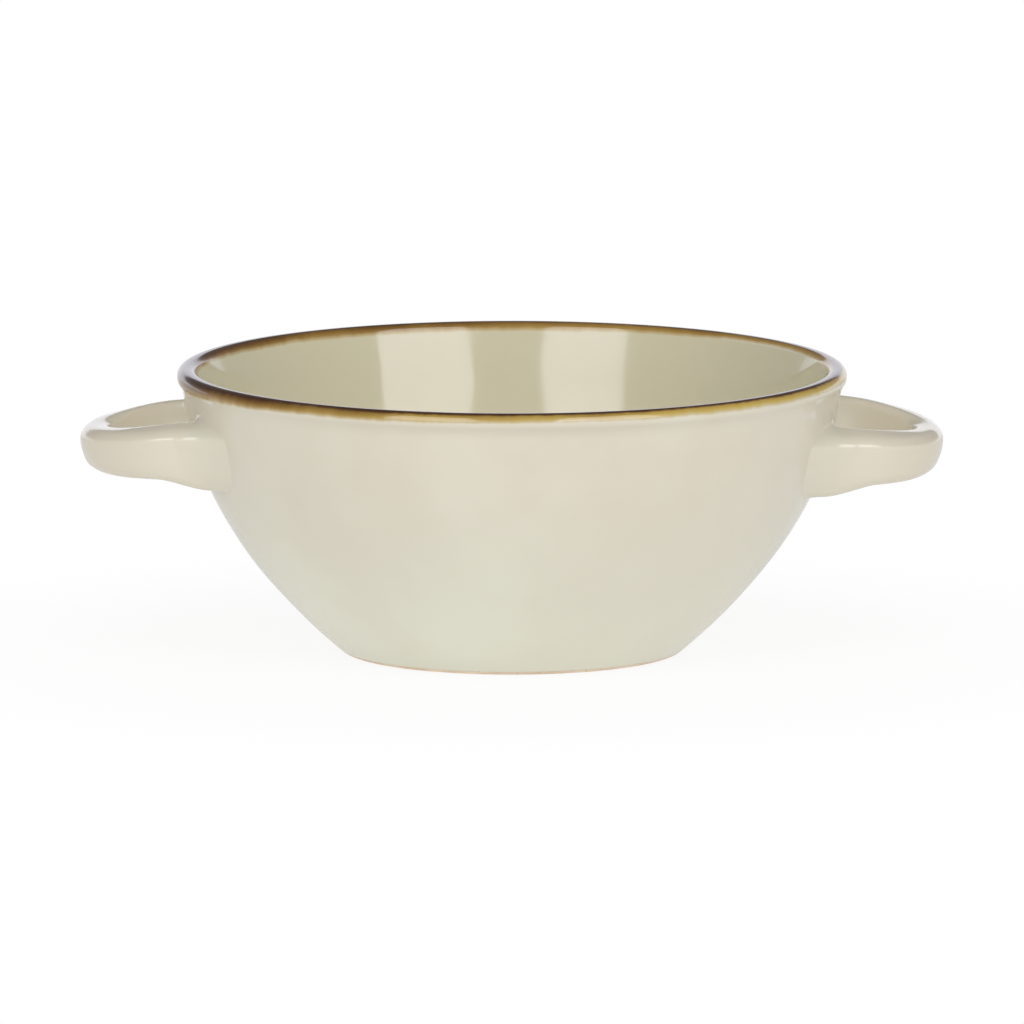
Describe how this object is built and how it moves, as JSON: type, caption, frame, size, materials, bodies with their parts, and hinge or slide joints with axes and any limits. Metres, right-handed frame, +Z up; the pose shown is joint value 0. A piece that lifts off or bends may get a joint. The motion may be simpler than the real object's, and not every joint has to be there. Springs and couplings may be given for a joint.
{
  "type": "lug soup bowl",
  "caption": "Footed round bowl in ivory glaze with a brown glazed rim and a pressed-on loop lug on each side.",
  "frame": {"origin": "on the bowl's axis, at the height of the surface it stands on", "axes": "+X through the right lug, +Z up the bowl's axis; the picture looks from the -Y side"},
  "size_m": [0.1808, 0.14, 0.06],
  "materials": {
    "bare_clay": "unglazed, matte",
    "ivory_glaze": "glossy",
    "brown_glaze": "glossy, running from dark brown to gold"
  },
  "bodies": {
    "root": {"clay_bowl": "bare_clay", "foot_ring": "bare_clay", "left_lug": "ivory_glaze", "right_lug": "ivory_glaze", "left_lug_slip": "ivory_glaze", "right_lug_slip": "ivory_glaze", "outside_glaze": "ivory_glaze", "inside_glaze": "ivory_glaze", "base_glaze": "ivory_glaze", "rim_band": "brown_glaze"}
  },
  "joints": []
}
